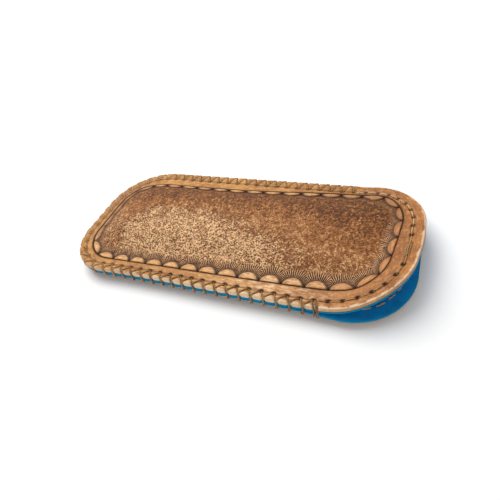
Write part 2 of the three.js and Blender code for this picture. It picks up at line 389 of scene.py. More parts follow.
def scallop_height(x, y):
    """How far a scallop reaches inwards: most by the mouth, least at the closed end."""
    height = blend(SCALLOP_LOW, SCALLOP_HIGH, ramp((x + 45) / 90))
    closed_end = ramp((-x - 66) / 14) * ramp((y + 24) / 20)
    return height - closed_end - 0.9 * ramp((y - 5) / 20) * (x < 60)


def closed_end_share(x, y):
    """1 along the closed end, from its front corner to its back one."""
    return ramp((-x - 66) / 10) * ramp((y + 26) / 10)


def scallop_half(x, y):
    """Half a scallop's width as a share of the pitch. They run into one another at the closed end."""
    return blend(SCALLOP_HALF, SCALLOP_HALF_CLOSED, closed_end_share(x, y))


def gap_darkness(x, y):
    """How dark the painted shade in the gaps between scallops is."""
    return 0.9 - 0.8 * closed_end_share(x, y)


def comb_strength(x, y):
    """The radiating lines were struck hardest along the front and round the mouth's front corner."""
    front = ramp((6 - y) / 26) * ramp((x + 84) / 30)
    mouth = ramp((x - 58) / 16) * ramp((22 - y) / 24)
    return 0.25 + 0.75 * np.maximum(front, mouth)


def matting(x, y):
    """The hammered ground, from -1 in its pits to 1 on its curly ridges about a millimetre apart."""
    bent = x + 0.6 * wander(x, y, 1.9, 13), y + 0.6 * wander(x, y, 1.9, 14)
    return np.tanh(2 * (0.75 * wander(*bent, 0.72, 11) + 0.6 * wander(*bent, 1.15, 12)))


def tooling(x, y, place, inset):
    """Height of the tooling above the plain leather."""
    inward = inset - cut_inset(x, y)
    aside = off_whole(scallop_phase(place)) / scallop_half(x, y)
    reach_in = np.maximum(inward, 0) / scallop_height(x, y)
    radial = np.hypot(aside, reach_in)
    beyond = (radial - 1) * BEYOND_SCALE
    inside = ramp(inward / 0.3)
    pillow = 0.26 * np.clip(1 - radial**2, 0, 1) - 0.12 * ramp((radial - 0.8) / 0.2)
    fan = np.arctan2(reach_in, aside) / math.pi + 0.02 * wander(x, y, 1.6, 17)
    lines = np.cos(fan * COMB_LINES * 2 * math.pi)
    reach = ramp(beyond / 0.4) * (1 - ramp((beyond - COMB_REACH * 0.5) / (COMB_REACH * 0.5)))
    comb = COMB_HEIGHT * lines * reach * comb_strength(x, y)
    sunk = 0.62 * np.exp(-np.maximum(beyond, 0) / 2.4) + 0.1
    ground = MATTING_DEPTH * matting(x, y) * ramp((beyond - 0.8) / 3)
    field = -sunk * ramp(beyond / 0.35) + comb + ground
    shape = np.where(radial < 1, pillow, field - 0.12)
    groove = -CUT_DEPTH * bell(inward, 0.36)
    border = 0.06 * ramp((inward + 1.2) / 1.0) * (inward < 0)
    return inside * shape + groove + border


# ---- meshes from rings
# Rings follow the outline as far in as this inset. From there they shrink towards the middle line.
INNER_INSET = 16.5
MIDDLE_LINE = (-HALF_LENGTH + 36, HALF_LENGTH - 34)
# The share of the way to the middle line where the last ring is.
LAST_SHARE = 0.985


def unwrapped(phase, lap):
    """A phase that goes on rising where it would start again from 0."""
    return phase + lap * totals(np.diff(phase) < -1)


class Rings:
    """A closed body from rings round the outline, from the middle of its top to that of its underside. A
    ring has as many points as its neighbour, or twice or half as many."""

    def __init__(self, count, edge_bulge):
        self.edge_bulge = edge_bulge
        lap = lengths_to(CUT_REFERENCE)[-1]
        start = along_at(CLOSED_END_PLACE, CUT_REFERENCE)
        self.place = place_at(start + np.arange(count + 1) * lap / count, CUT_REFERENCE)
        self.count = count
        self.points, self.maps, self.sizes = [], [], []

    def columns(self, size):
        return np.arange(0, self.count + 1, self.count // size)

    def add(self, size, inset, height, share=0.0, reach=0.0):
        """One ring. Its height is a function of (x, y, place, inset). share moves it towards the middle
        line, and reach moves it in from the edge."""
        place = self.place[self.columns(size)]
        x, y, out_x, out_y = drawn_out(place, inset, self.edge_bulge)
        x, y = x - out_x * reach, y - out_y * reach
        x, y = blend(x, np.clip(x, *MIDDLE_LINE), share), y * (1 - share)
        depth = np.full(len(place), float(inset)) if share == 0 else inset_of(x, y)
        self.points.append(np.column_stack([x, y, height(x, y, place, depth)])[:-1])
        scallop = unwrapped(scallop_phase(place), SCALLOPS)
        stitch = unwrapped(seam_phase(place), SEAM_LAP)
        rows = (scallop, depth - cut_inset(x, y), stitch, depth - row_inset(place), depth, place)
        self.maps.append(np.column_stack(rows))
        self.sizes.append(size)

    def add_towards_middle(self, size, height, shares):
        for share in shares:
            self.add(size, INNER_INSET, height, share=share)

    def add_insets(self, size, height, insets):
        for inset in insets:
            self.add(size, inset, height)

    def build(self, name, values=None):
        """values are functions of (x, y) that the materials read as attributes."""
        starts = totals(self.sizes)
        corners, maps, face_sizes = [], [], []

        def faces(*sides):
            """sides are (ring, positions in it), one for each corner of the faces."""
            ids = np.column_stack([starts[r] + np.mod(at, self.sizes[r]) for r, at in sides])
            corners.append(ids.ravel())
            maps.append(np.stack([self.maps[r][at] for r, at in sides], axis=1).reshape(-1, 6))
            face_sizes.append(np.full(len(ids), len(sides)))

        for ring, size in enumerate(self.sizes[:-1]):
            after = self.sizes[ring + 1]
            j = np.arange(min(size, after))
            here, there = size // len(j), after // len(j)
            sides = [(ring, here * j + step) for step in range(here + 1)]
            faces(*sides, *[(ring + 1, there * j + step) for step in range(there, -1, -1)])
        for ring, turn in ((0, -1), (len(self.sizes) - 1, 1)):
            size = self.sizes[ring]
            j = np.arange(1, size // 2 - 1)
            faces(*[(ring, j), (ring, j + 1), (ring, size - j - 1), (ring, size - j)][::turn])
            for end in ((0, 1, size - 1), (size // 2 - 1, size // 2, size // 2 + 1)):
                faces(*[(ring, np.array([k])) for k in end][::turn])
        maps = np.concatenate(maps)
        uv_maps = {"tooling": maps[:, :2], "seam": maps[:, 2:4], "edge": maps[:, 4:]}
        body = (np.concatenate(part) for part in (self.points, corners, face_sizes))
        return make_mesh(name, *body, uv_maps, values or {})


def make_mesh(name, points, corners, face_sizes, uv_maps, values):
    """A smooth-shaded object from points in millimetres about the middle of the panels."""
    mesh = bpy.data.meshes.new(name)
    placed = (points + [MIDDLE_X, 0, 0]) * MM
    mesh.vertices.add(len(placed))
    mesh.vertices.foreach_set("co", placed.astype(np.float32).reshape(-1))
    mesh.loops.add(len(corners))
    mesh.loops.foreach_set("vertex_index", corners.astype(np.int32))
    mesh.polygons.add(len(face_sizes))
    mesh.polygons.foreach_set("loop_start", totals(face_sizes)[:-1].astype(np.int32))
    mesh.update(calc_edges=True)
    mesh.validate()
    for title, uv in uv_maps.items():
        layer = mesh.uv_layers.new(name=title)
        layer.data.foreach_set("uv", uv.astype(np.float32).reshape(-1))
    for title, value in values.items():
        layer = mesh.attributes.new(title, "FLOAT", "POINT")
        layer.data.foreach_set("value", value(points[:, 0], points[:, 1]).astype(np.float32))
    mesh.shade_smooth()
    return add_object(name, mesh)


# ---- material graphs
def paint(red, green, blue):
    """A shader colour from display values of 0 to 255."""
    shares = (value / 255 for value in (red, green, blue))
    linear = (v / 12.92 if v <= 0.04045 else ((v + 0.055) / 1.055) ** 2.4 for v in shares)
    return (*linear, 1.0)


class Graph:
    """A material's nodes. Each call adds a node and gives the socket that comes out of it."""

    def __init__(self, name, **shader_values):
        self.material = bpy.data.materials.new(name)
        self.material.use_nodes = True
        self.tree = self.material.node_tree
        self.shader = self.tree.nodes["Principled BSDF"]
        for title, value in shader_values.items():
            self.shader.inputs[title.replace("_", " ")].default_value = value

    def put(self, socket, value):
        if isinstance(value, bpy.types.NodeSocket):
            self.tree.links.new(value, socket)
        else:
            socket.default_value = value

    def node(self, kind, inputs, **settings):
        node = self.tree.nodes.new(kind)
        for title, value in settings.items():
            setattr(node, title, value)
        for key, value in inputs.items():
            self.put(node.inputs[key], value)
        return node

    def math(self, operation, *values):
        return self.node("ShaderNodeMath", dict(enumerate(values)), operation=operation).outputs[0]

    def times(self, *values):
        return functools.reduce(lambda first, second: self.math("MULTIPLY", first, second), values)

    def plus(self, *values):
        return functools.reduce(lambda first, second: self.math("ADD", first, second), values)

    def less(self, first, second):
        return self.math("SUBTRACT", first, second)

    def steps(self, value, low, high):
        """0 below low, 1 above high and smooth between. With low above high it falls."""
        inputs = {"Value": value, "From Min": low, "From Max": high}
        return self.node("ShaderNodeMapRange", inputs, interpolation_type="SMOOTHSTEP").outputs[0]

    def fade(self, value, low, high, first, second):
        """From one colour, where the value is low, to another, where it is high."""
        return self.mix(self.steps(value, low, high), first, second)

    def mix(self, share, first, second, blend_type="MIX"):
        """Colours are sockets or (red, green, blue)."""
        node = self.node("ShaderNodeMix", {"Factor": share}, data_type="RGBA", blend_type=blend_type)
        for socket, colour in ((node.inputs[6], first), (node.inputs[7], second)):
            self.put(socket, paint(*colour) if isinstance(colour, tuple) else colour)
        return node.outputs[2]

    def stained(self, colour, *stains):
        """The colour with others laid over it. Each stain is (value, low, high, share, red-green-blue). It
        covers that share where the value is past high, and nothing before low."""
        for value, low, high, share, rgb in stains:
            colour = self.mix(self.times(self.steps(value, low, high), share), colour, rgb)
        return colour

    def noise(self, size_mm, detail=2, roughness=0.5, distortion=0, vector=None):
        """Soft random values whose features are about that many millimetres across."""
        inputs = {"Vector": vector or self.node("ShaderNodeTexCoord", {}).outputs["Object"]}
        inputs |= {"Scale": 1 / (size_mm * MM), "Detail": detail, "Roughness": roughness}
        return self.node("ShaderNodeTexNoise", {**inputs, "Distortion": distortion}).outputs[0]

    def streaks(self, along, across, long_mm, wide_mm):
        """Random values drawn out in one direction, from distances in millimetres along and across it."""
        sides = {0: self.times(along, 1 / long_mm), 1: self.times(across, 1 / wide_mm)}
        vector = self.node("ShaderNodeCombineXYZ", sides).outputs[0]
        return self.noise(1 / MM, 3, 0.6, vector=vector)

    def uv(self, name):
        """(first, second) value of a UV map."""
        vector = self.node("ShaderNodeUVMap", {}, uv_map=name).outputs[0]
        split = self.node("ShaderNodeSeparateXYZ", {0: vector})
        return split.outputs[0], split.outputs[1]

    def value(self, name):
        return self.node("ShaderNodeAttribute", {}, attribute_name=name).outputs["Fac"]

    def from_whole(self, value):
        """How far a value is from the nearest whole number."""
        return self.less(value, self.math("ROUND", value))

    def finish(self, colour, roughness, height, depth_mm):
        self.put(self.shader.inputs["Base Color"], colour)
        self.put(self.shader.inputs["Roughness"], roughness)
        bump = self.node("ShaderNodeBump", {"Height": height, "Distance": depth_mm * MM})
        self.put(self.shader.inputs["Normal"], bump.outputs[0])
        return self.material


# ---- floor and light
FLOOR_SIZE, FLOOR_COLOUR = 6.0, (0.93, 0.93, 0.93, 1)
# How far the floor is below the case, in metres, so that they don't flicker.
FLOOR_GAP = 0.00005
# Each light's place, size and power.
LIGHTS = {"key": ((-0.40, 0.36, 0.86), 0.85, 11.2), "fill": ((0.5, -0.8, 0.6), 0.7, 2.2)}
WORLD_LIGHT = 0.38


def add_area_light(name, place, size, power):
    data = bpy.data.lights.new(name, "AREA")
    data.size, data.energy = size, power
    light = add_object(name, data)
    aim = (-Vector(place)).to_track_quat("-Z", "Y")
    light.matrix_world = Matrix.Translation(place) @ aim.to_matrix().to_4x4()


def make_stage():
    """A plain pale floor, a broad light from the back and a weaker one from the front."""
    mesh = bpy.data.meshes.new("floor")
    half = FLOOR_SIZE / 2
    corners = [(x, y, -FLOOR_GAP) for x, y in ((-half, -half), (half, -half), (half, half), (-half, half))]
    mesh.from_pydata(corners, [], [(0, 1, 2, 3)])
    mesh.materials.append(Graph("floor_paint", Base_Color=FLOOR_COLOUR, Roughness=0.9).material)
    floor = add_object("floor", mesh)
    for name, light in LIGHTS.items():
        add_area_light(name, *light)
    world = bpy.data.worlds.new("studio")
    world.use_nodes = True
    background = world.node_tree.nodes["Background"].inputs
    background["Color"].default_value = (1, 1, 1, 1)
    background["Strength"].default_value = WORLD_LIGHT
    bpy.context.scene.world = world
    bpy.context.scene.view_settings.view_transform = "Standard"


make_stage()

# ---- leather, lining and thread
# Handling has made the leather a little redder and darker by the mouth.
MOUTH_STAIN = (228, 210, 200)


def border_rim(g, tan, grain, mottle):
    """The border's colour, pale along its edge, and least on the lip's side: partly edge wear and partly a
    painted highlight on the rounded corner.
    """
    inset, _ = g.uv("edge")
    uneven = g.plus(inset, g.times(g.less(mottle, 0.5), 2.4))
    below_corner = g.times(g.value("mouth"), g.steps(inset, 0.4, 0.1))
    share = g.times(g.steps(uneven, 1.35, 0.4), g.plus(0.26, g.times(g.value("holes"), 0.64)))
    share = g.times(share, g.less(1, g.times(below_corner, 0.75)))
    # The cream edge: partly edge wear, partly a painted highlight where the corner catches the light.
    return g.mix(share, tan, g.mix(grain, (252, 228, 196), (216, 176, 130)))


def leather_border(g, stitch, from_row):
    """(colour, height) of the plain band round a panel: tan, mottled, and darker at its holes, which is
    painted shade in them.
    """
    streaks = g.streaks(g.times(stitch, LACE_STEP), from_row, 4, 1.2)
    grain = g.noise(0.9, 3, 0.6, 0.5)
    mottle = g.noise(3.4, 3, 0.6)
    roughened = g.plus(0.22, g.times(g.value("mouth"), 0.26))
    aside = g.times(g.from_whole(stitch), LACE_STEP)
    from_hole = g.math("SQRT", g.plus(g.times(aside, aside, 0.6), g.times(from_row, from_row)))
    tan = g.stained(
        g.fade(g.noise(14, 3, 0.6), 0.38, 0.64, (170, 111, 48), (198, 139, 68)),
        (mottle, 0.5, 0.68, 0.5, (142, 88, 34)),
        (mottle, 0.46, 0.3, 0.5, (220, 166, 90)),
        (grain, 0.5, 0.66, roughened, (118, 75, 34)),
        (grain, 0.46, 0.34, roughened, (226, 182, 116)),
        (streaks, 0.53, 0.68, 0.45, (128, 82, 38)),
        (streaks, 0.46, 0.32, 0.45, (234, 194, 134)),
        # Pale streaks on the front border: painted sheen, with some scuffing.
        (streaks, 0.56, 0.4, g.value("rubbed_and_sheen"), (248, 222, 190)),
        (g.math("ABSOLUTE", from_row), 0.75, 0.25, 0.65, (96, 60, 32)),
        # Painted shade in each hole.
        (from_hole, 1.4, 0.8, g.value("holes"), (62, 33, 8)),
    )
    tan = g.mix(g.value("mouth"), tan, MOUTH_STAIN, "MULTIPLY")
    height = g.plus(g.times(grain, 0.7), g.times(streaks, 0.6))
    return border_rim(g, tan, grain, mottle), height


def comb_marks(g, aside, depth, beyond, inward):
    """(lines, area): the lines that fan out from each scallop, and where they are struck."""
    unsteady = g.times(g.less(g.noise(2.2), 0.5), 2.4)
    fan = g.plus(g.times(g.math("ARCTAN2", depth, aside), 2 * COMB_LINES), unsteady)
    lines = g.steps(g.math("COSINE", fan), -0.7, 0.5)
    reach = g.times(g.steps(beyond, 0.1, 0.4), g.steps(beyond, COMB_REACH, COMB_REACH * 0.5))
    return lines, g.times(reach, g.value("comb"), g.steps(inward, 0.05, 0.3))


def matted_ground(g, wear_and_sheen):
    """(colour, height) of the hammered field: dark in its pits, and pale on its ridges from wear of the
    stain and from painted sheen.
    """
    worms = g.noise(0.66, 1.5, 0.55)
    patches = g.noise(5.5, 3, 0.6)
    relief = g.plus(g.times(g.value("matting"), 0.2), g.times(g.less(worms, 0.5), 1.4))
    ridges = g.times(relief, g.less(1.2, g.times(wear_and_sheen, 0.5)))
    light = g.plus(0.5, ridges, g.times(g.less(wear_and_sheen, 0.5), 0.5), g.times(g.less(patches, 0.5), 0.4))
    colour = g.fade(light, 0.1, 0.48, (82, 46, 18), (150, 92, 44))
    # The pale ridge colour: wear of the stain, partly painted sheen.
    rubbed_and_sheen = g.fade(wear_and_sheen, 0.4, 0.9, (224, 172, 116), (254, 206, 152))
    colour = g.mix(g.steps(light, 0.46, 0.96), colour, rubbed_and_sheen)
    pits = g.times(g.steps(g.noise(0.74, 1, 0.5), 0.53, 0.6), g.steps(wear_and_sheen, 0.48, 0.8))
    colour = g.mix(g.times(pits, 0.8), colour, (66, 40, 26))
    colour = g.stained(colour, (g.noise(0.4, 2, 0.7), 0.5, 0.64, 0.4, (116, 74, 42)))
    return colour, g.plus(worms, g.times(pits, -0.4))


def scallop_leather(g, scallop, inward, aside, radial, wear_and_sheen):
    """Colour of the half moons: burnished, dark round their rims, with a painted shadow down one side,
    stained at the closed end and mouth.
    """
    shade = g.streaks(g.times(scallop, CUT_PITCH), inward, 2.6, 0.8)
    from_rim = g.times(g.less(1, radial), g.value("scallop"))
    arc = g.times(g.steps(radial, 0.86, 0.72), g.steps(shade, 0.4, 0.55), 0.5)
    colour = g.stained(
        g.fade(shade, 0.3, 0.66, (232, 180, 118), (200, 142, 84)),
        # Pale streaks on the front scallops: painted sheen, with some scuffing.
        (shade, 0.62, 0.36, g.times(g.value("rubbed_and_sheen"), 0.8), (248, 222, 194)),
        (radial, 0.5, 0.7, arc, (138, 92, 44)),
        (from_rim, 1.1, 0.2, 0.4, (120, 78, 42)),
        (from_rim, 0.45, 0.1, 0.75, (76, 47, 27)),
        # Painted shadow down one side of each scallop.
        (aside, -0.3, -0.8, g.times(g.steps(radial, 0.72, 0.95), 0.75), (66, 41, 24)),
    )
    colour = g.mix(g.value("mouth"), colour, MOUTH_STAIN, "MULTIPLY")
    return g.stained(
        colour,
        # Darker scallops by the mouth, where there is least of the wear and painted sheen.
        (wear_and_sheen, 0.62, 0.2, g.times(g.value("mouth"), 0.55), (140, 88, 48)),
        (g.value("gap"), 0.6, 0.1, 0.6, (134, 88, 50)),
    )


def tooled_leather():
    """The top panel: its border, the cut line, the scallops with their combed shadows, and the field."""
    g = Graph("tooled_leather", Specular_IOR_Level=0.27)
    (scallop, inward), wear_and_sheen = g.uv("tooling"), g.value("wear_and_sheen")
    border, border_height = leather_border(g, *g.uv("seam"))
    border = g.stained(border, (g.value("gap"), 0.6, 0.1, 0.2, (134, 82, 46)))

    aside = g.math("DIVIDE", g.from_whole(scallop), g.value("scallop_half"))
    depth = g.math("DIVIDE", g.math("MAXIMUM", inward, 0), g.value("scallop"))
    radial = g.math("SQRT", g.plus(g.times(aside, aside), g.times(depth, depth)))
    beyond = g.times(g.less(radial, 1), BEYOND_SCALE)
    comb_lines, comb_area = comb_marks(g, aside, depth, beyond, inward)
    field, field_height = matted_ground(g, wear_and_sheen)
    field = g.mix(comb_area, field, g.mix(comb_lines, (38, 21, 11), (228, 172, 124)))
    # Painted shade in the gaps between scallops.
    gap = g.times(g.steps(inward, 2.6, 0.6), g.steps(g.math("ABSOLUTE", aside), 0.7, 1.0))
    # Painted shade on the sunk field beside each scallop.
    field = g.stained(field, (beyond, 2.6, 0.1, 0.58, (66, 40, 22)))
    field = g.mix(g.times(gap, g.value("gap")), field, (40, 23, 11))

    pillow = scallop_leather(g, scallop, inward, aside, radial, wear_and_sheen)
    inner = g.mix(g.steps(radial, 0.985, 1.03), pillow, field)
    colour = g.mix(g.steps(inward, -0.15, 0.1), border, inner)
    from_cut = g.times(g.math("ABSOLUTE", inward), g.plus(0.45, g.times(g.value("comb"), 0.65)))
    cut = g.steps(from_cut, 0.52, 0.22)
    colour = g.mix(g.times(cut, 0.95), colour, (44, 24, 8))
    beside_cut = g.times(g.steps(inward, 0.1, -0.1), 0.35)
    colour = g.stained(colour, (inward, -1.6, -0.3, beside_cut, (112, 70, 38)))

    in_field = g.times(g.steps(inward, 0, 0.3), g.steps(radial, 0.98, 1.03))
    dull = g.math("MAXIMUM", cut, g.times(gap, in_field))
    smooth = g.plus(0.42, g.times(in_field, 0.16), g.times(border_height, 0.1))
    outside = g.times(border_height, g.less(1, in_field), 0.22)
    height = g.plus(outside, g.times(field_height, in_field), g.times(comb_area, comb_lines, 0.8))
    return g.finish(colour, g.math("MAXIMUM", smooth, dull), height, 0.7)


def plain_leather():
    g = Graph("plain_leather", Specular_IOR_Level=0.45)
    colour, height = leather_border(g, *g.uv("seam"))
    colour = g.stained(colour, (g.noise(9, 4, 0.7, 0.8), 0.5, 0.75, 0.45, (150, 102, 62)))
    return g.finish(colour, g.plus(0.45, g.times(height, 0.2)), height, 0.12)


def blue_lining():
    g = Graph("blue_lining", Specular_IOR_Level=0.25, Sheen_Weight=0.35, Sheen_Roughness=0.5)
    g.shader.inputs["Sheen Tint"].default_value = paint(60, 150, 210)
    nap = g.noise(0.35, 3, 0.7)
    brushed = g.noise(5, 3, 0.6, 1.0)
    inset, _ = g.uv("edge")
    colour = g.stained(
        g.fade(brushed, 0.35, 0.68, (0, 117, 178), (0, 135, 196)),
        (nap, 0.5, 0.7, 0.5, (12, 150, 212)),
        (inset, 0.6, 0.3, 0.9, (0, 128, 162)),
    )
    return g.finish(colour, g.plus(0.8, g.times(nap, 0.15)), g.plus(nap, g.times(brushed, 0.4)), 0.12)


def waxed_thread():
    """Two-ply thread. Its tone is -1 where it is painted dark as shade going down a hole, 0 brown, 0.5 tan
    and 1 cream.
    """
    g = Graph("waxed_thread", Specular_IOR_Level=0.5)
    around, along = g.uv("thread")
    turns = g.plus(g.times(around, 2), g.times(along, -2 / THREAD_TWIST))
    groove = g.plus(g.times(g.math("COSINE", g.times(turns, 2 * math.pi)), 0.5), 0.5)
    fibres, spots, tone = g.noise(0.25, 3, 0.7), g.noise(6, 2, 0.6), g.value("tone")
    brown = g.fade(spots, 0.35, 0.65, (132, 94, 50), (166, 122, 70))
    tan = g.mix(spots, (178, 130, 74), (204, 156, 98))
    cream = g.mix(fibres, (232, 206, 164), (198, 160, 110))
    colour = g.mix(g.steps(tone, 0.5, 1.0), g.mix(g.steps(tone, 0.0, 0.5), brown, tan), cream)
    colour = g.stained(
        colour,
        # Painted shade where the thread goes down a hole.
        (tone, -0.1, -1.0, 1, (58, 38, 20)),
        # Painted shade in the grooves between the plies.
        (groove, 0.5, 0.05, 0.6, (88, 60, 32)),
        (fibres, 0.55, 0.7, 0.4, (212, 174, 120)),
    )
    return g.finish(colour, g.plus(0.42, g.times(fibres, 0.25)), g.plus(groove, g.times(fibres, 0.5)), 0.12)


# ---- panels and linings
def mouth_tint(x, y):
    return ramp((x - 20) / 60)


def front_scuff_and_sheen(x, y):
    """Painted sheen, with some scuffing, on the front border between its middle and the mouth."""
    return 0.4 * bell(x - 30, 24) * ramp((-y - 22) / 6)


def hole_shade(x, y):
    """How dark the painted shade in the holes is: most along the front and round the mouth."""
    front = ramp((-y - 18) / 14) * ramp((x + 70) / 50)
    mouth = ramp((x - 50) / 10) * (0.4 + 0.6 * ramp((20 - y) / 24))
    return 0.4 + 0.55 * np.maximum(front, mouth)


def wear_and_sheen(x, y):
    """How pale the field is, from wear of the antique stain and from painted sheen: most along the front
    and left, least at the back by the mouth.
    """
    pale = 0.72 * bell(np.hypot((x + 28) / 50, (y + 15) / 16), 1)
    front = 0.16 * ramp((-y - 2) / 16) * ramp((x + 50) / 30)
    dark = 0.5 * bell(np.hypot((x - 52) / 26, (y - 24) / 12), 1) + 0.38 * ramp((y - 2) / 20)
    return np.clip(0.46 + pale + front - dark + 0.16 * wander(x, y, 16, 21), 0, 1)


def finish_piece(piece, material, slot, *nodes):
    piece.data.materials.append(material)
    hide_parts(*nodes)
    return piece


def across_flex(piece):
    """Bakes the piece's transform into its points."""
    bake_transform(piece)


def lifted(surface, offset):
    """The surface, that much higher."""
    return lambda *spot: surface(*spot) + offset


def napped(surface, seed):
    """The surface with a slight nap."""
    return lambda x, y, *_: surface(x, y) + NAP_HEIGHT * wander(x, y, NAP_CELL, seed)


# What the top leather's material reads from its mesh.
TOP_VALUES = {
    **{"comb": comb_strength, "matting": matting, "scallop": scallop_height, "scallop_half": scallop_half},
    **{"gap": gap_darkness, "wear_and_sheen": wear_and_sheen, "mouth": mouth_tint, "holes": hole_shade, "rubbed_and_sheen": front_scuff_and_sheen},
}


def make_top_leather():
    finest, fine, medium, coarse = 1600, 800, 400, 200
    rings = Rings(finest, upper_bulge)
    inner = lifted(top_surface, -TOP_LEATHER)

    def outer(x, y, place, inset):
        border = border_swell(place, inset) - lip_crease(place, inset)
        return top_surface(x, y) + tooling(x, y, place, inset) + border

    rings.add_towards_middle(fine, outer, np.linspace(LAST_SHARE, 0.025, 44))
    rings.add_insets(finest, outer, np.linspace(INNER_INSET, 7.4, 26))
    rings.add_insets(fine, outer, np.linspace(7.0, 1.6, 14))
    add_edge(rings, fine, (1.15, 0.45), outer, inner)
    rings.add_insets(medium, inner, (3, 9, INNER_INSET))
    rings.add_towards_middle(coarse, inner, (0.25, 0.5, 0.75, LAST_SHARE))
    piece = rings.build("top_panel_leather", TOP_VALUES)
    finish_piece(piece, tooled_leather(), "tooled_leather", "top_panel", "top_panel_lip")
    across_flex(piece)


def add_edge(rings, size, rounds, upper, lower, recess=0.0, steps=4):
    """The rings round an edge, from its upper face to its lower one, rounded by two radii."""
    top_round, bottom_round = rounds
    reach = edge_pull(rings.place[rings.columns(size)]) + recess
    turns = np.linspace(0, QUARTER, steps + 1)
    for turn in turns:
        drop = top_round * (1 - math.cos(turn))
        rings.add(size, top_round * (1 - math.sin(turn)), lifted(upper, -drop), reach=reach)
    for turn in turns:
        rise = bottom_round * (1 - math.sin(turn))
        rings.add(size, bottom_round * (1 - math.cos(turn)), lifted(lower, rise), reach=reach)


def make_lining(name, edge_bulge, upper, lower, *nodes):
    fine, coarse = 400, 200
    rings = Rings(fine, edge_bulge)
    insets = np.linspace(2, INNER_INSET, 12)
    rings.add_towards_middle(coarse, upper, np.linspace(LAST_SHARE, 0.06, 14))
    rings.add_insets(fine, upper, insets[::-1])
    add_edge(rings, fine, (0.25, 0.25), upper, lower, steps=2)
    rings.add_insets(fine, lower, insets)
    rings.add_towards_middle(coarse, lower, (0.25, 0.5, 0.75, LAST_SHARE))
    return finish_piece(rings.build(name), blue, "lining", *nodes)


def make_top_lining():
    upper = lifted(top_surface, -TOP_LEATHER - LAYER_GAP)
    lower = napped(lifted(top_surface, -TOP_LAYERS), seed=31)
    nodes = ("top_lining", "top_lining_lip")
    across_flex(make_lining("top_panel_lining", top_lining_bulge, upper, lower, *nodes))


def make_bottom_lining():
    upper = napped(lifted(underside, BOTTOM_LAYERS), seed=32)
    lower = lifted(underside, BOTTOM_LEATHER + LAYER_GAP)
    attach(make_lining("bottom_panel_lining", lower_bulge, upper, lower, "bottom_lining"), "pouch")


def make_bottom_leather():
    fine, medium, coarse = 800, 400, 200
    rings = Rings(fine, lower_bulge)
    inner = lifted(underside, BOTTOM_LEATHER)

    def outer(x, y, place, inset):
        return underside(x, y) - LOWER_PUFF_SHARE * border_swell(place, inset)

    rings.add_towards_middle(coarse, inner, (LAST_SHARE, 0.75, 0.5, 0.25))
    rings.add_insets(medium, inner, (INNER_INSET, 9, 3))
    add_edge(rings, fine, (0.3, 0.55), inner, outer, recess=BOTTOM_RECESS)
    rings.add_insets(fine, outer, np.linspace(1.2, 7, 16))
    rings.add_insets(medium, outer, np.linspace(8, INNER_INSET, 8))
    rings.add_towards_middle(medium, outer, np.linspace(0.1, LAST_SHARE, 10))
    piece = rings.build("bottom_panel_leather", {"holes": hole_shade})
    finish_piece(piece, plain_leather(), "plain_leather", "bottom_panel")
    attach(piece, "pouch")


# ---- threads
def smooth_line(points, steps):
    """Points along a Catmull-Rom curve through the given ones."""
    points = np.asarray(points, float)
    ends = np.vstack([2 * points[0] - points[1], points, 2 * points[-1] - points[-2]])
    t = np.linspace(0, 1, steps, endpoint=False)
    cubes = (2 * t**2 - t - t**3, 2 - 5 * t**2 + 3 * t**3, t + 4 * t**2 - 3 * t**3, t**3 - t**2)
    knots = [ends[first : first + len(points) - 1] for first in range(4)]
    curve = sum(0.5 * cube[None, :, None] * knot[:, None, :] for cube, knot in zip(cubes, knots))
    return np.vstack([curve.reshape(-1, 3), points[-1]])


def thread_rings(line, far, radius):
    """A ring of points round each point of a line, twisted like two-ply thread by how far along it is."""
    ahead = np.gradient(line, axis=0)
    ahead /= np.linalg.norm(ahead, axis=1, keepdims=True)
    side = np.cross(ahead[0], (0, 0, 1.0) if abs(ahead[0][2]) < 0.9 else (1.0, 0, 0))
    sides = []
    for direction in ahead:
        side = side - direction * (side @ direction)
        side = side / np.linalg.norm(side)
        sides.append(side)
    sides = np.array(sides)
    ups = np.cross(ahead, sides)
    turn = np.arange(THREAD_SIDES) / THREAD_SIDES * 2 * math.pi
    reach = radius * (1 + 0.16 * np.cos(2 * turn - far[:, None] * 4 * math.pi / THREAD_TWIST))
    across, up = (np.cos(turn) * reach)[..., None], (np.sin(turn) * reach)[..., None]
    return (line[:, None] + (sides[:, None] * across + ups[:, None] * up)).reshape(-1, 3)


def thread_body(line, radius):
    """(points, corners, face sizes, uv) of a thread along a line, with its ends closed."""
    far = totals(np.linalg.norm(np.diff(line, axis=0), axis=1))
    i, j = np.meshgrid(np.arange(len(line) - 1), np.arange(THREAD_SIDES), indexing="ij")
    i, j = i.ravel(), j.ravel()
    after = (j + 1) % THREAD_SIDES
    rows = np.column_stack([i, i, i + 1, i + 1])
    quads = rows * THREAD_SIDES + np.column_stack([j, after, after, j])
    last = (len(line) - 1) * THREAD_SIDES
    caps = np.concatenate([np.arange(THREAD_SIDES)[::-1], last + np.arange(THREAD_SIDES)])
    corners = np.concatenate([quads.ravel(), caps])
    sizes = np.concatenate([np.full(len(quads), 4), [THREAD_SIDES, THREAD_SIDES]])
    around = np.column_stack([j, j + 1, j + 1, j]) / THREAD_SIDES
    uv = np.vstack([np.column_stack([around.ravel(), far[rows].ravel()]), np.zeros((len(caps), 2))])
    return thread_rings(line, far, radius), corners, sizes, uv


def lacing_tone(x, y):
    """Brown at the front, and paler at the closed end and the back."""
    return 0.5 * ramp((-x - 30) / 40) + 0.2 * ramp((y + 10) / 20)


